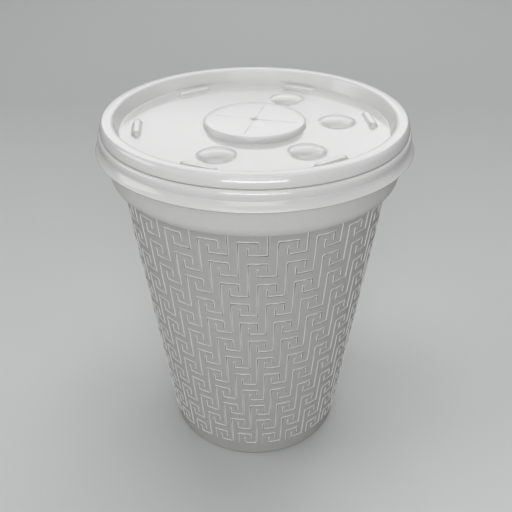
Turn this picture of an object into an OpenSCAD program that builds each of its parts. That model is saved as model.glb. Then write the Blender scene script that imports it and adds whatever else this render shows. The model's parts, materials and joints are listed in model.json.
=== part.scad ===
// Foam cup with a press-on drink lid.
// The cup is one moulding: a tapered wall with a raised meander, a shoulder band, a
// lip and a foot ring. The lid is one thermoformed sheet, so its buttons, lugs and raised centre
// are pressed into the same sheet. Millimetres, +Z up, with the origin on the
// ground at the cup's axis. Angles run from the front, towards +X.

/* [Cup wall] */
// Radius of the foot at the ground
foot_r = 29.2; // [24:0.1:34]
// Height at which the wall meets the shoulder band
wall_h = 94.4; // [70:0.1:120]
// Thickness of the foam wall
wall_t = 2.2; // [1.5:0.1:3]
// Radius of the rounded edge at the ground
foot_round = 0.9; // [0.3:0.1:1.4]
// Depth of the hollow under the floor
foot_recess = 3; // [1:0.1:6]
// Width of the ring that the cup stands on
foot_ring_w = 3.4; // [2.5:0.1:5]
// Thickness of the floor
floor_t = 3; // [2:0.1:5]
// Radius of the corner between the floor and the wall, inside
floor_round = 4; // [1:0.1:8]

/* [Meander] */
// Number of meanders round the wall
meanders = 23; // [12:1:26]
// Turn of the first row
meander_turn = 1.2; // [-180:0.1:180]
// Height of the lower bars of the first whole row
meander_foot = 6; // [3:0.1:12]
// Height of a meander
meander_h = 11.9; // [8:0.1:14]
// Height from one row to the next
row_pitch = 7.4; // [6.5:0.1:12]
// Length of the hook at each end of a meander
hook_l = 2.5; // [1.5:0.1:3.5]
// Width of the raised line
line_w = 0.8; // [0.5:0.05:1.2]
// Height of the raised line
line_h = 0.4; // [0.2:0.05:0.8]

/* [Shoulder and lip] */
// Radius of the lip that the lid goes over
lip_r = 45.3; // [36:0.1:52]
// How far the lip stands out from the shoulder band
lip_out = 0.9; // [0.4:0.1:1.5]
// How far the shoulder band stands out from the wall under it
band_out = 3.1; // [1.5:0.1:4.5]
// Height of the rounding under the shoulder band
band_round = 3.6; // [1.5:0.1:5]
// Height from the foot of the band to the top of the lip
band_h = 18.5; // [16:0.1:24]
// Height of the lip
lip_h = 3.4; // [2.6:0.1:3.8]
// Width of the lip at the mouth
lip_w = 2.4; // [1.8:0.1:3]
// How much narrower the inside is at the foot of the band than at the mouth
mouth_draft = 0.6; // [0:0.1:1]

/* [Lid] */
// Thickness of the lid's sheet
sheet_t = 0.5; // [0.3:0.05:0.6]
// Clearance between the top of the lip and the crown
lid_gap = 0.2; // [0.1:0.05:0.4]
// Clearance between the sides of the lip and the crown
side_gap = 0.4; // [0.3:0.05:0.6]
// How far the brim stands out from the crown
brim_out = 1.8; // [1.4:0.1:3]
// Depth of the brim below the top of the crown
brim_drop = 8.9; // [8.6:0.1:10]
// How much narrower the crown is at its top
crown_draft = 0.3; // [0:0.05:0.4]
// Radius of the crown's rounded edges
crown_round = 0.9; // [0.7:0.1:1]
// Depth of the holding bead below the top of the crown
bead_drop = 3.6; // [3:0.1:4]
// Height of the holding bead
bead_h = 2.9; // [2:0.1:3]
// How far the holding bead bulges
bead_out = 0.7; // [0.3:0.1:1]
// How much narrower the well inside the crown is at its foot
well_draft = 1.2; // [0.6:0.1:2.5]
// Depth of the panel below the top of the crown
well_h = 4.2; // [3.4:0.1:5]
// Radius of the corners where walls meet the panel
well_round = 0.5; // [0.2:0.1:1]

/* [Lid centre] */
// Radius of the raised disc
disc_r = 15.4; // [10:0.1:18]
// Height of the raised disc above the panel
disc_h = 1.9; // [1.5:0.1:2.4]
// Radius of the disc's rounded edge
disc_round = 0.8; // [0.7:0.1:0.9]
// Distance from the end of a slit to the edge of the disc
slit_in = 2.4; // [1.5:0.1:6]
// Width of a slit
slit_w = 0.15; // [0.1:0.05:0.5]
// Diameter of the hole at the middle of the cross
slit_hole_d = 0.6; // [0.4:0.1:2]
// Turn of the straw cross
slit_turn = -14.5; // [-45:0.5:45]

/* [Buttons and lugs] */
// Number of places round the panel
places = 6; // [4:1:8]
// Number of those places that have a button
buttons = 4; // [1:1:4]
// Turn of the first place from the front
place_turn = -24.7; // [-60:0.1:60]
// Distance of the buttons out from midway between the disc and the lugs
button_shift = 0.4; // [-0.5:0.1:1]
// Radius of a button
button_r = 5.6; // [3:0.1:6]
// Height of a button
button_h = 1.9; // [1:0.1:2.5]
// Distance from the middle of a lug to the edge of the panel
lug_in = 5.1; // [4:0.1:6]
// Length of a lug
lug_l = 11.6; // [6:0.1:13]
// Half the width of a lug
lug_r = 1.3; // [1:0.1:1.6]
// Height of a lug
lug_h = 1.2; // [0.8:0.1:1.6]

/* [Hidden] */
$fn = 96;
band_r = lip_r - lip_out;
wall_top_r = band_r - band_out;
mouth_r = lip_r - lip_w;
crown_r = lip_r + side_gap + sheet_t;
crown_inner_r = mouth_r - side_gap - sheet_t;
brim_r = crown_r + brim_out;
well_r = crown_inner_r - well_draft;
rim_z = wall_h + band_h;
lip_z = rim_z - lip_h;
crown_z = rim_z + lid_gap + sheet_t;
panel_z = crown_z - well_h;
disc_z = panel_z + disc_h;
brim_z = crown_z - brim_drop;
floor_z = foot_recess + floor_t;
panel_r = well_r - well_round;
hub_r = disc_r + well_round;
slit_l = 2 * (disc_r - slit_in);
lug_at = panel_r - lug_in;
button_at = (hub_r + lug_at - lug_r) / 2 + button_shift;
step = 360 / meanders / 4;
sink = 0.3;
over = 1;

// Points along a round stretch, from angle a to angle b
function arc(x, y, r, a, b, n = 6) =
    [for (i = [0:n]) [x + r * cos(a + (b - a) * i / n), y + r * sin(a + (b - a) * i / n)]];

// Radius of the outer wall at a height
function wall_r(z) = foot_r + (wall_top_r - foot_r) * z / wall_h;

// Section of the cup, from the axis under the floor, round the outside and back
module cup_section() {
    ring_r = foot_r - foot_ring_w;
    band_z = wall_h + band_round;
    rim_round = lip_w / 2;
    corner_z = floor_z + floor_round;
    corner_r = wall_r(corner_z) - wall_t - floor_round;
    polygon(concat(
        [[0, foot_recess], [ring_r - foot_recess / 3, foot_recess], [ring_r, 0]],
        arc(foot_r - foot_round, foot_round, foot_round, -90, 0),
        [[wall_top_r, wall_h]],
        [for (a = [15:15:90]) [wall_top_r + band_out * sin(a), band_z - band_round * cos(a)]],
        [[band_r, lip_z - lip_out], [lip_r, lip_z]],
        arc(mouth_r + rim_round, rim_z - rim_round, rim_round, 0, 180, 12),
        [[mouth_r - mouth_draft, band_z + wall_t], [wall_top_r - wall_t, wall_h]],
        arc(corner_r, corner_z, floor_round, 0, -90),
        [[0, floor_z]]
    ));
}

// Unit normal to the left of the way from a to b
function left(a, b) = [a[1] - b[1], b[0] - a[0]] / norm(b - a);

// The same path moved to its left by t, with mitred corners
function beside(path, t) = let (last = len(path) - 1) [for (i = [0:last]) let (
    before = left(path[max(i - 1, 0)], path[max(i, 1)]),
    after = left(path[min(i, last - 1)], path[min(i + 1, last)])
) path[i] + (before + after) * t / (1 + before * after)];

// Outer face of the crown, from the brim up over the lip and down to the panel
function crown_path() = let (
    bead_z = crown_z - bead_drop - bead_h,
    top_z = crown_z - crown_round
) concat(
    arc(brim_r, brim_z + brim_out, brim_out, -90, -180),
    [for (a = [0:20:180]) [crown_r + bead_out * sin(a), bead_z + bead_h * (1 - cos(a)) / 2]],
    arc(crown_r - crown_draft - crown_round, top_z, crown_round, 0, 90),
    arc(crown_inner_r + crown_round, top_z, crown_round, 90, 180),
    arc(panel_r, panel_z + well_round, well_round, 0, -90, 4)
);

// Outer face of the raised disc, from the panel in to the axis
function disc_path() = concat(
    arc(hub_r, panel_z + well_round, well_round, -90, -180, 4),
    arc(disc_r - disc_round, disc_z - disc_round, disc_round, 0, 90, 4),
    [[0, disc_z]]
);

// A sheet of even thickness turned about the axis, given its outer face
module sheet(path, t) {
    inner = beside(path, t);
    rotate_extrude() polygon(concat(path, [for (i = [len(path) - 1:-1:0]) inner[i]]));
}

// Puts something on the panel at one of its places, turned to face the axis
module at_place(i, distance) {
    rotate([0, 0, place_turn + i * 360 / places]) translate([0, -distance, panel_z]) children();
}

// A low dome on a stem that reaches down by the given depth
module dome(r, h, depth) {
    rotate_extrude() polygon(concat(
        [[0, -depth], [r, -depth]],
        [for (a = [0:15:75]) [r * cos(a), h * sin(a)]],
        [[0, h]]
    ));
}

// A round-ended bar that lies along X, from the given depth up to its top
module lug(r, l, h, depth) {
    translate([0, 0, -depth]) linear_extrude(h + depth) {
        square([l - 2 * r, 2 * r], center = true);
        for (side = [-1, 1]) translate([side * (l / 2 - r), 0]) circle(r);
    }
}

// A slit cross with a small hole at its middle, cut through the raised disc
module straw_cross() {
    rotate([0, 0, slit_turn]) translate([0, 0, disc_z - sheet_t - over])
        linear_extrude(sheet_t + 2 * over) {
            square([slit_l, slit_w], center = true);
            square([slit_w, slit_l], center = true);
            circle(d = slit_hole_d);
        }
}

// A band round the wall from height low to high, between two distances off its face
module wall_band(low, high, inner, outer) {
    rotate_extrude() polygon([
        [wall_r(low) + inner, low], [wall_r(low) + outer, low],
        [wall_r(high) + outer, high], [wall_r(high) + inner, high]
    ]);
}

// Bare ground beside each meander of a row, from turn a to b and height low to high
module ground(row, a, b, low, high) {
    near = wall_r(low) - over;
    far = wall_r(high) + over;
    for (n = [0:meanders - 1]) rotate([0, 0, meander_turn + (4 * n - row) * step - 90])
        translate([0, 0, low]) linear_extrude(high - low) polygon([
            near * [cos(a), sin(a)], far * [cos(a), sin(a)],
            far * [cos(b), sin(b)], near * [cos(b), sin(b)]
        ]);
}

// A row of meanders: a raised ring, less the ground inside and between them. A meander is a hook, a
// top bar, a long upright, a lower bar and a hook. The outer rows end at the foot and in the band.
module meander_row(row) {
    half_w = line_w / 2;
    low = meander_foot + row * row_pitch;
    high = low + meander_h;
    half_a = half_w / wall_r((low + high) / 2) * 180 / PI;
    bar_a = 2 * step;
    difference() {
        wall_band(max(low, meander_foot) - half_w, min(high + half_w, wall_h + line_h), -sink, line_h);
        ground(row, half_a, bar_a - half_a, low - over, high - half_w);
        ground(row, half_a - bar_a, -half_a, low + half_w, high + over);
        ground(row, bar_a - 2 * half_a, bar_a + 2 * half_a, low + hook_l, high - hook_l);
    }
}

// The body and the rows share one loop, so they are joined in a single step, which builds faster
module cup() {
    first_row = -1;
    last_row = floor((wall_h - meander_foot) / row_pitch);
    color("gainsboro") for (row = [first_row - 1:last_row])
        if (row < first_row) rotate_extrude() cup_section();
        else meander_row(row);
}

module lid() {
    color("white") difference() {
        union() {
            sheet(concat(crown_path(), disc_path()), sheet_t);
            for (i = [0:buttons - 1]) at_place(i, button_at) dome(button_r, button_h, sheet_t / 2);
            for (i = [0:places - 1]) at_place(i, lug_at) lug(lug_r, lug_l, lug_h, sheet_t / 2);
        }
        for (i = [0:buttons - 1]) at_place(i, button_at)
            translate([0, 0, -sheet_t]) dome(button_r - sheet_t, button_h, over);
        for (i = [0:places - 1]) at_place(i, lug_at)
            lug(lug_r - sheet_t, lug_l - 2 * sheet_t, lug_h - sheet_t, sheet_t + over);
        straw_cross();
    }
}

cup();
lid();
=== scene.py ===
# %% [markdown]
# # A foam cup with a pressed-on drink lid
#
# The cup is one moulding of fine bead foam, with a raised meander round its wall. The lid is
# one thin sheet of plastic, pressed hot into shape. Both are round about the same axis, so
# both start here as a section that is turned about Z. What isn't round is then added to the
# turned surface: the meander on the cup, and the buttons, lugs and slits on the lid.
#
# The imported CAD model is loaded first. It fixes where everything is. Lengths are in metres.

# %% Load the frame
import json
import math

import bmesh
import bpy
import numpy as np
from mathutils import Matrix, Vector

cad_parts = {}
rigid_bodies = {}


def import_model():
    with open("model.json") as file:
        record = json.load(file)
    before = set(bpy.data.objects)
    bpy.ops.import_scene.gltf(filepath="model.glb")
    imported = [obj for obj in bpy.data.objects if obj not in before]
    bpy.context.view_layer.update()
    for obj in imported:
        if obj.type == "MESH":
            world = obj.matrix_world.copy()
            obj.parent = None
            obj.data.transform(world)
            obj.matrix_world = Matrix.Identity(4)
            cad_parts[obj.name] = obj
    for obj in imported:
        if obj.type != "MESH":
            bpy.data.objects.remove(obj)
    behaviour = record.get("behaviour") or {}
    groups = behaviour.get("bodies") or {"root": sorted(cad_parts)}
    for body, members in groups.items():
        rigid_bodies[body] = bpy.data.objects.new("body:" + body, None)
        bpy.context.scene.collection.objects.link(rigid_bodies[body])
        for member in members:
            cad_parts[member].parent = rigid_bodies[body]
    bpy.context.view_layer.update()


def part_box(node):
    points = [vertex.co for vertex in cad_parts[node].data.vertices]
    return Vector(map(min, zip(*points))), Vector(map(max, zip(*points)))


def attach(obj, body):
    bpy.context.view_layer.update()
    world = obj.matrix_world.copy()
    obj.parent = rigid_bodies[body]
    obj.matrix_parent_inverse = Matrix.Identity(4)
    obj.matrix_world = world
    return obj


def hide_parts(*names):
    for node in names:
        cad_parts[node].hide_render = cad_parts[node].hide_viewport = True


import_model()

# %% [markdown]
# ## Sizes
#
# A moulder's drawing gives sizes in millimetres, so they are written that way and turned
# into metres once. The heights and outer radii are read from the CAD model's boxes, and the
# rest repeats the values in the CAD source.

# %% Sizes of the cup
MM = 0.001


def reach(node):
    """Outer radius, lowest and highest point of a CAD node."""
    low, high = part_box(node)
    return high.x, low.z, high.z


lip_r, _, rim_z = reach("cup")
foot_r = 29.2 * MM
foot_round = 0.9 * MM
foot_recess = 3 * MM
foot_ring_w = 3.4 * MM
floor_z = 6 * MM
floor_round = 4 * MM
wall_t = 2.2 * MM
band_h = 18.5 * MM
band_round = 3.6 * MM
lip_out = 0.9 * MM
band_out = 3.1 * MM
lip_h = 3.4 * MM
lip_w = 2.4 * MM
mouth_draft = 0.6 * MM

wall_h = rim_z - band_h
band_r = lip_r - lip_out
wall_top_r = band_r - band_out
mouth_r = lip_r - lip_w
lip_z = rim_z - lip_h
wall_lean = math.atan2(wall_top_r - foot_r, wall_h)
print(f"cup: rim {rim_z / MM:.1f} mm up, lip radius {lip_r / MM:.1f} mm")


def wall_r(z):
    """Radius of the outer wall at a height."""
    return foot_r + (wall_top_r - foot_r) * z / wall_h


# %% Sizes of the lid
brim_r, brim_low, crown_z = reach("lid")
sheet_t = 0.5 * MM
side_gap = 0.4 * MM
brim_out = 1.8 * MM
crown_side = 1.2 * MM
crown_round = 0.9 * MM
bead_drop = 3.6 * MM
bead_h = 2.9 * MM
bead_out = 0.7 * MM
well_draft = 1.2 * MM
well_h = 4.2 * MM
well_round = 0.3 * MM
disc_r = 15.4 * MM
disc_h = 1.9 * MM
disc_round = 0.8 * MM

brim_z = brim_low + sheet_t
crown_r = brim_r - brim_out
crown_inner_r = mouth_r - side_gap - sheet_t
panel_r = crown_inner_r - well_draft - well_round
panel_z = crown_z - well_h
disc_z = panel_z + disc_h
hub_r = disc_r + well_round
print(f"lid: crown {crown_z / MM:.1f} mm up, brim radius {brim_r / MM:.1f} mm")

# %% [markdown]
# ## Turning a section
#
# A cup mould is turned on a lathe, so a turned section is the honest way to make its walls.
# A section is a list of (radius, height) points, and round stretches come from an arc. The
# points are spaced closely only where the section curves, because a straight stretch needs
# no more than its ends.


# %% Section helpers
def arc(x, y, r, a, b, steps=8):
    """Points on a circle about (x, y) from angle a to b, in degrees."""
    angles = np.radians(np.linspace(a, b, steps + 1))
    return [(x + r * math.cos(t), y + r * math.sin(t)) for t in angles]


def turned(section, segments):
    """Vertices and faces of a section turned about Z. Both its ends lie on the axis."""
    turns = np.linspace(0, 2 * math.pi, segments, endpoint=False)
    inner = section[1:-1]
    verts = [(r * math.sin(t), -r * math.cos(t), z) for r, z in inner for t in turns]
    faces = [
        (row * segments + k, row * segments + (k + 1) % segments,
         (row + 1) * segments + (k + 1) % segments, (row + 1) * segments + k)
        for row in range(len(inner) - 1) for k in range(segments)
    ]
    for end, row in ((section[0], 0), (section[-1], len(inner) - 1)):
        tip = len(verts)
        verts.append((0, 0, end[1]))
        for k in range(segments):
            edge = (row * segments + k, row * segments + (k + 1) % segments)
            faces.append((*edge[::-1], tip) if row == 0 else (*edge, tip))
    return verts, faces


def made(name, verts, faces, body):
    """A smooth-shaded object from vertices and faces, which rides on a body."""
    mesh = bpy.data.meshes.new(name)
    mesh.from_pydata([tuple(v) for v in verts], [], [tuple(f) for f in faces])
    mesh.validate()
    mesh.shade_smooth()
    piece = bpy.data.objects.new(name, mesh)
    bpy.context.scene.collection.objects.link(piece)
    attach(piece, body)
    mesh.calc_loop_triangles()
    print(f"{name}: {len(mesh.loop_triangles)} triangles")
    return piece


# %% [markdown]
# ## The body of the cup
#
# The section runs from the axis under the floor, over the ring that the cup stands on, up
# the tapered wall, round the shoulder band and the lip, and down the inside to the floor.
# Foam can't hold a sharp edge, so the creases that the CAD model leaves sharp get a small
# arc here.

# %% Section of the cup
crease = 0.35 * MM


def cup_section():
    """The cup's section, from the axis under the floor round to the axis on it."""
    band_z = wall_h + band_round
    rim_round = lip_w / 2
    ring_r = foot_r - foot_ring_w
    corner_z = floor_z + floor_round
    corner_r = wall_r(corner_z) - wall_t - floor_round
    foot = [(0, foot_recess), (ring_r - foot_recess / 3, foot_recess), (ring_r, 0.0),
            *arc(foot_r - foot_round, foot_round, foot_round, -90, 0)]
    wall = [(wall_r(z), z) for z in np.linspace(foot_round, wall_h - crease, 25)[1:]]
    band = [(wall_top_r + band_out * math.sin(a), band_z - band_round * math.cos(a))
            for a in np.radians(np.linspace(6, 90, 15))]
    lip = [(band_r, lip_z - lip_out - crease), (band_r + crease / 3, lip_z - lip_out),
           (lip_r - crease / 3, lip_z - crease / 3), (lip_r, lip_z + crease),
           *arc(mouth_r + rim_round, rim_z - rim_round, rim_round, 0, 180, 16)]
    inside = [(mouth_r - mouth_draft, band_z + wall_t), (wall_top_r - wall_t, wall_h),
              *arc(corner_r, corner_z, floor_round, 0, -90, 10), (0, floor_z)]
    return foot + wall + band + lip + inside


body_verts, body_faces = turned(cup_section(), 288)
print("cup body:", len(body_faces), "faces")

# %% [markdown]
# ## The meander
#
# The meander is one motif, repeated round the wall and up it: a hook, a top bar, a long
# upright, a lower bar and a hook. Each row is turned a quarter of a motif against the one
# below, so that the motifs lock together. The rows at the foot and under the band are cut
# off. On the real cup the pattern is cut into the mould, and the foam fills it as a soft,
# round-topped line. A displaced grid would need millions of faces for lines this thin, so
# each line is swept instead: a small round section carried along its path on the wall.

# %% Sizes of the meander
meanders = 23
meander_turn = 1.2
meander_foot = 6 * MM
meander_h = 11.9 * MM
row_pitch = 7.4 * MM
hook_l = 2.5 * MM
line_w = 0.84 * MM
line_h = 0.22 * MM
line_sink = 0.01 * MM
corner_turn = 0.32 * MM
step = math.radians(360 / meanders / 4)


# %% One line on the flat
def rounded(path, radius, corner_steps=3, spacing=2.0 * MM):
    """The path's points as evenly spaced stations, with its corners rounded."""
    path = [np.array(p, float) for p in path]
    stations = [path[0]]
    for before, corner, after in zip(path, path[1:], path[2:]):
        into = (corner - before) / np.linalg.norm(corner - before)
        out = (after - corner) / np.linalg.norm(after - corner)
        start, end = corner - into * radius, corner + out * radius
        stations += straight(stations[-1], start, spacing)
        centre = start + out * radius
        for a in np.linspace(0, math.pi / 2, corner_steps + 1)[1:]:
            stations.append(centre + radius * (into * math.sin(a) - out * math.cos(a)))
    return stations + straight(stations[-1], path[-1], spacing)


def straight(a, b, spacing):
    """Stations from a to b, without a itself."""
    count = max(1, round(np.linalg.norm(b - a) / spacing))
    return [a + (b - a) * i / count for i in range(1, count + 1)]


def motif(low, high):
    """The motif's path as (distance round the wall, height), between two heights."""
    bar = 2 * step * wall_r(low + meander_h / 2)
    top = low + meander_h
    if high < top:
        return [(0, high), (0, low), (-bar, low), (-bar, low + hook_l)]
    if low < meander_foot:
        return [(bar, top - hook_l), (bar, top), (0, top), (0, meander_foot - line_w / 2)]
    return [(bar, top - hook_l), (bar, top), (0, top), (0, low), (-bar, low),
            (-bar, low + hook_l)]


# %% [markdown]
# The section of a line is a low wave that meets the wall without a crease. Its ends are
# round. Each line is closed underneath, just inside the foam, so that every mesh is a true
# solid.


# %% Sweep a line on the wall
def line_rings(path, half_w):
    """Closed outlines of a path at falling distances from its middle, as (u, z, height)."""
    path = np.array(path)
    along = np.gradient(path, axis=0)
    along /= np.linalg.norm(along, axis=1, keepdims=True)
    side = np.stack([-along[:, 1], along[:, 0]], axis=1)
    rings = []
    for share, height in LINE_STEPS:
        d = half_w * share
        loop = [p + s * d for p, s in zip(path, side)]
        loop += cap(path[-1], along[-1], side[-1], d)
        loop += [p - s * d for p, s in zip(path[::-1], side[::-1])]
        loop += cap(path[0], -along[0], -side[0], d)
        rings.append([(u, z, height) for u, z in loop])
    return rings


def cap(end, along, side, d):
    """Points of the half circle round an end of a line, without its own two ends."""
    return [end + d * (side * math.cos(a) + along * math.sin(a))
            for a in np.radians(CAP_ANGLES)]


CAP_ANGLES = (45, 90, 135)
LINE_STEPS = [(1, -line_sink)] + [
    (x, line_h * (0.5 + 0.5 * math.cos(math.pi * x))) for x in (0.72, 0.45, 0.2)]


def on_wall(u, z, height, turn, middle_r):
    """The point at a distance round the wall and a height off its face."""
    a = turn + u / middle_r
    r = wall_r(z) + height * math.cos(wall_lean)
    return r * math.sin(a), -r * math.cos(a), z - height * math.sin(wall_lean)


def swept(rings, turn, middle_r, base):
    """Vertices and faces of one line, counted on from base."""
    count = len(rings[0])
    verts = [on_wall(u, z, h, turn, middle_r) for ring in rings for u, z, h in ring]
    faces = [
        (base + row * count + k, base + row * count + (k + 1) % count,
         base + (row + 1) * count + (k + 1) % count, base + (row + 1) * count + k)
        for row in range(len(rings) - 1) for k in range(count)
    ]
    half = count // 2
    for row, under in ((0, True), (len(rings) - 1, False)):
        ring = [base + row * count + k for k in range(count)]
        left, right = ring[:half], ring[half:][::-1]
        for k in range(half - 1):
            quad = (left[k], left[k + 1], right[k + 1], right[k])
            faces.append(quad if under else quad[::-1])
    return verts, faces


# %% Lay the rows
line_verts, line_faces = [], []
last_row = math.floor((wall_h - meander_foot) / row_pitch)
for row in range(-1, last_row + 1):
    low = meander_foot + row * row_pitch
    middle_r = wall_r(low + meander_h / 2)
    path = rounded(motif(low, wall_h), corner_turn)
    rings = line_rings(path, line_w / 2)
    for n in range(meanders):
        turn = math.radians(meander_turn) + (4 * n - row) * step
        verts, faces = swept(rings, turn, middle_r, len(body_verts) + len(line_verts))
        line_verts += verts
        line_faces += faces
print("meander:", (last_row + 2) * meanders, "lines,", len(line_faces), "faces")

cup_foam = made("cup_foam", body_verts + line_verts, body_faces + line_faces, "cup")
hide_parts("cup")

# %% [markdown]
# ## The lid
#
# The lid is one sheet of even thickness. Hot sheet is drawn over a form, so every edge is
# rounded and nothing is thicker than the sheet. Its outer face is a fine polar grid: rings
# from the brim in to the axis, and columns round it. The rings of the panel are then raised
# where a button or a lug is, and the underside follows half a millimetre below.

# %% Rings of the lid's outer face
places = 6
buttons = 4
place_turn = math.radians(-24.7)
button_r = 5.6 * MM
button_h = 1.45 * MM
lug_in = 5.1 * MM
lug_l = 11.6 * MM
lug_r = 1.3 * MM
lug_h = 1.2 * MM
lug_at = panel_r - lug_in
button_at = (hub_r + lug_at - lug_r) / 2 + 0.4 * MM
slit_turn = math.radians(-14.5)
slit_half = disc_r - 2.4 * MM
slit_w = 0.06 * MM
slit_hole_r = 0.1 * MM
seam_depth = 0.35 * MM
seam_h = 0.3 * MM
seam_z = crown_z - bead_drop


def bend(a, b, c, steps):
    """Points on a soft curve from a to c that is drawn towards b."""
    return [tuple((1 - t) ** 2 * p + 2 * t * (1 - t) * q + t * t * r for p, q, r in zip(a, b, c))
            for t in np.linspace(0, 1, steps + 1)]


def lid_rings():
    """The outer face from the brim to the middle hole, as (radius, height)."""
    bead_z = seam_z - bead_h
    top_z = crown_z - crown_round
    skirt = bend((brim_r, brim_z), (crown_r + 0.55 * MM, brim_z + 0.8 * MM),
                 (crown_r, bead_z - 0.1 * MM), 8)
    bead = [(crown_r + bead_out * math.sin(a), bead_z + bead_h * (1 - math.cos(a)) / 2)
            for a in np.radians(np.linspace(8, 172, 15))]
    seam = [(crown_r - seam_depth, seam_z), (crown_r - seam_depth, seam_z + seam_h),
            (crown_r, seam_z + seam_h + 0.04 * MM)]
    side_h = crown_z - seam_z - 0.5 * MM
    side = [(crown_r - crown_side * (1 - math.cos(a)), crown_z - side_h * (1 - math.sin(a)))
            for a in np.radians(np.linspace(4, 90, 13))]
    crown = seam + side + arc(crown_inner_r + crown_round, top_z, crown_round, 90, 180, 6)
    foot = arc(panel_r, panel_z + well_round, well_round, 0, -90, 5)
    lugs_in = lug_at - lug_r - 0.5 * MM
    lugs_out = lug_at + 3.2 * MM
    buttons_in = button_at - button_r - 0.4 * MM
    panel = [(r, panel_z) for r in (
        *np.linspace(panel_r, lugs_out, 3)[1:-1],
        *np.linspace(lugs_out, lugs_in, 19),
        *np.linspace(lugs_in, buttons_in, 27)[1:],
        *np.linspace(buttons_in, hub_r, 3)[1:-1])]
    disc = (arc(hub_r, panel_z + well_round, well_round, -90, -180, 4)
            + arc(disc_r - disc_round, disc_z - disc_round, disc_round, 0, 90, 5))
    flaps = [(r, disc_z) for r in (slit_half, *np.linspace(slit_half, slit_hole_r, 9)[1:])]
    return skirt + bead + crown + foot + panel + disc + flaps


rings = lid_rings()
print("lid:", len(rings), "rings")

# %% [markdown]
# A button is a low dome that rises from the panel at a sharp edge. It is pressed in to mark
# the drink. A lug is a bar with round ends that lies across the way to the axis, and keeps
# stacked lids apart. Both are heights over the flat panel, as a function of place, so any
# grid can follow them. A polar grid would cut a button's edge into steps, so the points
# near it are moved on to it.


# %% Heights on the panel
def smooth(x):
    """0 below 0, 1 above 1, and a soft ramp between them."""
    x = np.clip(x, 0, 1)
    return x * x * (3 - 2 * x)


def button_height(x, y):
    """A low dome that rises from a sharp edge."""
    d = np.hypot(x, y) / button_r
    return button_h * np.clip(1 - d ** 2, 0, 1) ** 0.6


def lug_height(x, y):
    """A bar with round ends and a round top, lying along x."""
    past = np.clip(np.abs(x) - (lug_l / 2 - lug_r), 0, None)
    d = np.hypot(past, y)
    return lug_h * smooth((lug_r + 0.12 * MM - d) / (0.62 * MM))


def place_heights(x, y):
    """Height over the panel, from all its buttons and lugs."""
    height = np.zeros_like(x)
    for i in range(places):
        a = place_turn + i * 2 * math.pi / places
        across, out = x * math.cos(a) + y * math.sin(a), x * math.sin(a) - y * math.cos(a)
        height = np.maximum(height, lug_height(across, out - lug_at))
        if i < buttons:
            height = np.maximum(height, button_height(across, out - button_at))
    return height


def pulled(x, y, pull=0.24 * MM):
    """The same grid, with the points near a button's outline moved on to it."""
    for i in range(buttons):
        a = place_turn + i * 2 * math.pi / places
        dx, dy = x - button_at * math.sin(a), y + button_at * math.cos(a)
        d = np.hypot(dx, dy)
        share = np.where(np.abs(d - button_r) < pull, button_r / np.maximum(d, pull) - 1, 0)
        x, y = x + dx * share, y + dy * share
    return x, y


# %% [markdown]
# The straw cross is two slits that leave four flaps, with a tiny hole where they meet. The
# lid is made as four quarters that meet along the slits. Outside the slits the quarters
# share their edges and are merged. Inside, each edge stands half a slit's width away from
# the line. The flaps sit a hair's breadth off each other, as cut sheet does.

# %% Quarters of the lid
quarter_steps = 96
flap_lift = (0.05 * MM, 0.01 * MM, 0.035 * MM, 0.0)
slit_end = slit_half * 0.999
weld_reach = 0.0005 * MM


def sheet_normals(section):
    """Unit normals of the section, pointing out of the sheet's outer face."""
    p = np.array(section)
    d = np.gradient(p, axis=0)
    n = np.stack([d[:, 1], -d[:, 0]], axis=1)
    return n / np.linalg.norm(n, axis=1, keepdims=True)


def lid_quarter(q):
    """Outer and inner grid of one quarter, each of shape (rings, columns, 3)."""
    from_a = slit_turn + q * math.pi / 2
    r = np.array([p[0] for p in rings])[:, None]
    z = np.array([p[1] for p in rings])[:, None]
    margin = np.where(r <= slit_end, np.arcsin(np.clip(slit_w / 2 / r, 0, 0.5)), 0)
    share = np.linspace(0, 1, quarter_steps + 1)[None, :]
    a = from_a + margin + (math.pi / 2 - 2 * margin) * share
    x, y = pulled(r * np.sin(a), -r * np.cos(a))
    z = z + np.where((r < panel_r) & (r > hub_r), place_heights(x, y), 0)
    inward = np.clip(1 - r / slit_half, 0, 1)
    z = z + flap_lift[q] * inward * np.sin(math.pi * share) ** 0.5
    outer = np.stack([x, y, z], axis=-1)
    n = sheet_normals(rings)
    down = np.stack([n[:, :1] * np.sin(a), -n[:, :1] * np.cos(a),
                     n[:, 1:] * np.ones_like(a)], axis=-1)
    return outer, outer - down * sheet_t


# %% Join the quarters into one sheet
lid_verts, lid_faces = [], []
slit_rings = [i for i, p in enumerate(rings) if p[0] <= slit_end]
columns = quarter_steps + 1
for q in range(4):
    outer, inner = lid_quarter(q)
    base = len(lid_verts)
    lid_verts += [tuple(v) for v in outer.reshape(-1, 3)]
    lid_verts += [tuple(v) for v in inner.reshape(-1, 3)]
    under = base + len(rings) * columns

    def face(a, b, c, d):
        lid_faces.append((a, b, c, d))

    for i in range(len(rings) - 1):
        for k in range(quarter_steps):
            o = base + i * columns + k
            u = under + i * columns + k
            face(o, o + 1, o + columns + 1, o + columns)
            face(u, u + columns, u + columns + 1, u + 1)
    for k in range(quarter_steps):
        o, u = base + k, under + k
        face(o, u, u + 1, o + 1)
        o, u = (start + (len(rings) - 1) * columns + k for start in (base, under))
        face(o, o + 1, u + 1, u)
    for i in slit_rings:
        for k, flip in ((0, False), (quarter_steps, True)):
            o, u = (start + i * columns + k for start in (base, under))
            quad = (o, o - columns, u - columns, u)
            face(*(quad if flip else quad[::-1]))

lid_sheet = made("lid_sheet", lid_verts, lid_faces, "lid")
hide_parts("lid")

# %% [markdown]
# The quarters are welded where their edges coincide, and the edges are counted: in a closed
# mesh each one has two faces.

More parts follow.
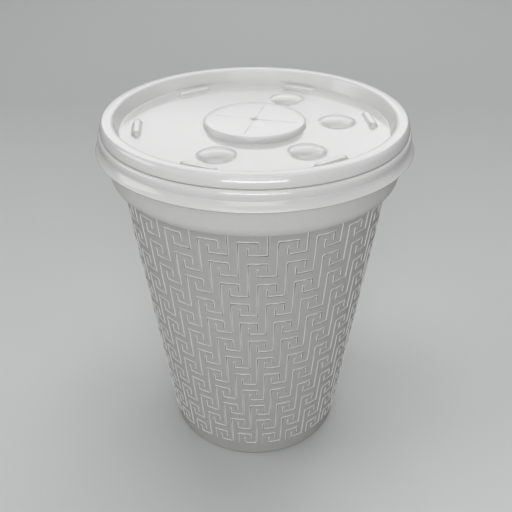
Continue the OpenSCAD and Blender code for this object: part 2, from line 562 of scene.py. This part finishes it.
# %% Weld the lid
weld = bmesh.new()
weld.from_mesh(lid_sheet.data)
bmesh.ops.remove_doubles(weld, verts=weld.verts, dist=weld_reach)
open_edges = sum(1 for e in weld.edges if len(e.link_faces) != 2)
weld.to_mesh(lid_sheet.data)
weld.free()
lid_sheet.data.shade_smooth()
print("lid: edges without two faces:", open_edges)

# %% [markdown]
# ## Shader maths as expressions
#
# A material here is a small sum: noise times a strength, plus a colour. Nodes for such sums
# are slow to read, so a socket is wrapped in a class whose operators add the Math nodes.
# Colours and vectors don't go through Math nodes, which would turn them grey.


# %% Socket class
class Value:
    """A shader socket that can be used in expressions."""

    def __init__(self, finish, socket):
        self.finish, self.socket = finish, socket

    def math(self, operation, *values):
        inputs = dict(enumerate(values))
        return self.finish.node("ShaderNodeMath", {"operation": operation}, inputs)

    def __add__(self, other):
        return self.math("ADD", self, other)

    def __mul__(self, other):
        return self.math("MULTIPLY", self, other)

    def __sub__(self, other):
        return self.math("SUBTRACT", self, other)

    def __rsub__(self, other):
        return self.math("SUBTRACT", other, self)

    __radd__ = __add__
    __rmul__ = __mul__


class Finish:
    """A material whose nodes are added by one method."""

    def __init__(self, name):
        self.material = bpy.data.materials.new(name)
        self.material.use_nodes = True
        self.tree = self.material.node_tree
        self.shader = self.tree.nodes["Principled BSDF"]

    def node(self, kind, settings, inputs, output=0):
        node = self.tree.nodes.new(kind)
        for key, value in settings.items():
            setattr(node, key, value)
        for key, value in inputs.items():
            self.feed(node.inputs[key], value)
        return Value(self, node.outputs[output])

    def feed(self, socket, value):
        if isinstance(value, Value):
            self.tree.links.new(value.socket, socket)
        else:
            socket.default_value = value

    def set(self, **inputs):
        for key, value in inputs.items():
            self.feed(self.shader.inputs[key.replace("_", " ")], value)

    def mix(self, share, a, b):
        settings = {"data_type": "RGBA", "clamp_factor": True}
        return self.node("ShaderNodeMix", settings, {0: share, 6: a, 7: b}, output=2)

    def place(self):
        return self.node("ShaderNodeTexCoord", {}, {}, output="Object")

    def height(self):
        """The height over the table."""
        return self.node("ShaderNodeSeparateXYZ", {}, {"Vector": self.place()}, output="Z")

    def radius(self):
        """The distance from the axis."""
        flat = self.node("ShaderNodeVectorMath", {"operation": "MULTIPLY"},
                         {0: self.place(), 1: (1, 1, 0)})
        return self.node("ShaderNodeVectorMath", {"operation": "LENGTH"}, {0: flat},
                         output="Value")

    def ramp(self, value, start, end):
        """0 at start, 1 at end, and no more or less outside them."""
        inputs = {"Value": value, "From Min": start, "From Max": end}
        return self.node("ShaderNodeMapRange", {"clamp": True}, inputs)

    def noise(self, scale, detail=2.0):
        inputs = {"Vector": self.place(), "Scale": scale, "Detail": detail}
        return self.node("ShaderNodeTexNoise", {}, inputs, output="Fac")

    def bump(self, height, strength, distance):
        inputs = {"Height": height, "Strength": strength, "Distance": distance}
        return self.node("ShaderNodeBump", {}, inputs)


# %% [markdown]
# ## Foam
#
# Moulded bead foam is thousands of small beads that swelled until they met. The skin is
# dull, and the beads show as faint flat cells with a shallow groove between them. Cells are
# a Voronoi pattern. The distance to a cell's edge gives the groove, and the cell's own
# random colour makes it a touch lighter or darker.
#
# Three tones of painted light and shade are laid on the foam. The ground between the lines
# is the greyest, and painted shade makes it a little greyer towards the foot. The raised
# lines and the smooth band under the lid are painted lighter, as painted light. A point's
# height and its distance from the plain wall tell which tone it has.

# %% Foam finish
foam = Finish("foam")
bead = 1.3 * MM
voronoi = {"voronoi_dimensions": "3D"}
cell_inputs = {"Vector": foam.place(), "Scale": 1 / bead, "Randomness": 0.9}
groove = foam.node("ShaderNodeTexVoronoi", voronoi | {"feature": "DISTANCE_TO_EDGE"},
                   cell_inputs, output="Distance")
tint = foam.node("ShaderNodeTexVoronoi", voronoi | {"feature": "F1"},
                 cell_inputs, output="Color")
tint_grey = foam.node("ShaderNodeSeparateColor", {}, {"Color": tint})
groove_line = foam.ramp(groove, 0.0, 0.12)
cloud = foam.noise(60.0, 3.0)
shade = 0.35 * tint_grey + 0.4 * cloud + 0.25 * groove_line
wall_slope = (wall_top_r - foot_r) / wall_h
relief = foam.radius() - (foot_r + foam.height() * wall_slope)
# Painted shade: the ground between the lines is darker towards the foot.
ground_painted_shade = foam.mix(foam.ramp(foam.height(), 2 * MM, 60 * MM),
                       (0.42, 0.418, 0.408, 1), (0.5, 0.498, 0.487, 1))
# Painted light: the raised lines are painted lighter than the ground, as if lit from above.
wall_painted_light_and_shade = foam.mix(foam.ramp(relief, 0.01 * MM, 0.1 * MM),
                     ground_painted_shade, (0.88, 0.878, 0.866, 1))
# Painted light: the vertical band under the lid is painted lighter than the leaning wall.
foam_painted_light_and_shade = foam.mix(foam.ramp(foam.height(), wall_h - 1 * MM, wall_h + 2 * MM),
                wall_painted_light_and_shade, (0.7, 0.698, 0.69, 1))
foam.set(
    Base_Color=foam.mix(0.1 * shade, foam_painted_light_and_shade, (1, 1, 1, 1)),
    Roughness=0.5 + 0.14 * cloud,
    Specular_IOR_Level=0.4,
    Normal=foam.bump(groove_line * 0.6 + foam.noise(2600.0, 2.0) * 0.4, 0.35, 0.02 * MM),
)
cup_foam.data.materials.append(foam.material)
print("foam:", len(foam.tree.nodes), "nodes")

# %% [markdown]
# ## Lid sheet
#
# Thermoformed sheet is white and glossy, but it isn't flat: it cools over the form in slow
# waves, which bend what it reflects. Two noises, one broad and one fine, give the waves. A
# rougher patch here and there is where the sheet touched the form. The groove under the
# crown is tight and gets little light, so painted shade darkens its colour there.

# %% Sheet finish
sheet = Finish("lid_sheet")
waves = sheet.noise(70.0, 2.0)
grain = sheet.noise(900.0, 2.0)
# Painted shade: the groove under the crown is darkened in the base colour.
seam_painted_shade = (sheet.ramp(sheet.radius(), crown_r - 0.05 * MM, crown_r - 0.2 * MM)
           * sheet.ramp(sheet.radius(), crown_r - 0.6 * MM, crown_r - 0.5 * MM)
           * sheet.ramp(sheet.height(), seam_z + seam_h + 0.04 * MM, seam_z + seam_h))
white = sheet.mix(waves, (0.80, 0.80, 0.795, 1), (0.84, 0.84, 0.835, 1))
sheet.set(
    Base_Color=sheet.mix(0.7 * seam_painted_shade, white, (0.25, 0.25, 0.25, 1)),
    Roughness=0.1 + 0.08 * waves,
    IOR=1.55,
    Normal=sheet.bump(0.9 * waves + 0.1 * grain, 0.25, 0.2 * MM),
)
lid_sheet.data.materials.append(sheet.material)
print("sheet:", len(sheet.tree.nodes), "nodes")

# %% [markdown]
# ## Floor and backdrop
#
# The cup stands on a plain pale floor that curves up behind it, like paper in a studio, so
# no horizon shows. The colour that the camera sees is painted paler in front and darker
# behind, a painted falloff of light. The light that it throws back comes from one middle
# grey, so the cup's wall isn't lit too much from below.

# %% Stage
floor_flat = 0.9
floor_curve = 0.6
floor_top = 1.1
stage_section = ([(0, 0), (floor_flat, 0)]
                 + arc(floor_flat, floor_curve, floor_curve, -90, 0, 24)
                 + [(floor_flat + floor_curve, floor_top)])
stage_turns = 96
turns = np.linspace(0, 2 * math.pi, stage_turns, endpoint=False)
stage_verts = [(0, 0, 0)] + [(r * math.cos(t), r * math.sin(t), z)
                             for r, z in stage_section[1:] for t in turns]
stage_faces = []
for k in range(stage_turns):
    here, beside = 1 + k, 1 + (k + 1) % stage_turns
    stage_faces.append((0, here, beside))
    for first in range(0, (len(stage_section) - 2) * stage_turns, stage_turns):
        stage_faces.append((first + here, first + here + stage_turns,
                            first + beside + stage_turns, first + beside))
stage_mesh = bpy.data.meshes.new("backdrop")
stage_mesh.from_pydata(stage_verts, [], stage_faces)
stage_mesh.shade_smooth()
backdrop = bpy.data.objects.new("backdrop", stage_mesh)
bpy.context.scene.collection.objects.link(backdrop)

paper = Finish("paper")
seen = paper.node("ShaderNodeLightPath", {}, {}, output="Is Camera Ray")
place = paper.node("ShaderNodeSeparateXYZ", {}, {"Vector": paper.place()}, output="Y")
# Painted light falloff: the floor that the camera sees is paler in front and darker behind.
painted_floor_falloff = paper.mix(paper.ramp(place, -0.08, 0.33), (0.745, 0.76, 0.754, 1),
                 (0.512, 0.524, 0.517, 1))
paper.set(Base_Color=paper.mix(seen, (0.26, 0.26, 0.26, 1), painted_floor_falloff), Roughness=0.9)
backdrop.data.materials.append(paper.material)
print("backdrop:", len(stage_faces), "faces")

# %% [markdown]
# ## Light
#
# The photograph's light is soft and comes from all round: a wide softbox above, three behind
# the cup, which the lid's panel reflects, a weak one and a strong low one in front, which
# reach the walls, and one at each side, stronger on the left. Each lamp is given by where it
# stands, seen from the cup: its turn from the front towards +X and its height in degrees.


# %% Lamps
def softbox(name, turn, height, size, power, distance=1.0):
    """A soft rectangular lamp that points at the lid."""
    light = bpy.data.lights.new(name, "AREA")
    light.shape = "RECTANGLE"
    light.size, light.size_y = size
    light.energy = power
    lamp = bpy.data.objects.new(name, light)
    turn, height = math.radians(turn), math.radians(height)
    out = Vector((math.cos(height) * math.sin(turn), -math.cos(height) * math.cos(turn),
                  math.sin(height)))
    lamp.location = Vector((0, 0, 0.08)) + distance * out
    lamp.rotation_euler = out.to_track_quat("Z", "Y").to_euler()
    bpy.context.scene.collection.objects.link(lamp)
    return lamp


softbox("overhead", 0, 89, (0.7, 0.7), 3.3)
softbox("behind_high", 180, 35, (1.0, 0.5), 2.0)
softbox("behind_low", 180, 18, (1.4, 0.5), 1.5)
softbox("behind_right", 135, 50, (0.6, 0.6), 1.4)
softbox("left", 270, 20, (0.6, 0.5), 2.0)
softbox("right", 90, 20, (0.6, 0.5), 0.5)
softbox("front", 0, 30, (0.6, 0.4), 1.6)
softbox("front_low", 0, 6, (0.8, 0.2), 4.0)

world = bpy.data.worlds.new("sky")
world.use_nodes = True
world.node_tree.nodes["Background"].inputs["Color"].default_value = (1, 1, 1, 1)
world.node_tree.nodes["Background"].inputs["Strength"].default_value = 0.02
bpy.context.scene.world = world
bpy.context.scene.view_settings.view_transform = "Standard"

# %% [markdown]
# ## Camera
#
# The camera stands where the photograph was taken from: in front, above the lid and looking
# down. Its place and tilt come from the outlines of the rims and the wall.

# %% Camera
camera_data = bpy.data.cameras.new("camera")
camera_data.lens = 50
camera_data.sensor_width = 36
camera_data.clip_start = 0.01
camera = bpy.data.objects.new("camera", camera_data)
camera.location = (0.0, -0.2046, 0.1881)
camera.rotation_euler = (math.radians(58.5025), 0.0, math.radians(-0.1035))
bpy.context.scene.collection.objects.link(camera)
bpy.context.scene.camera = camera
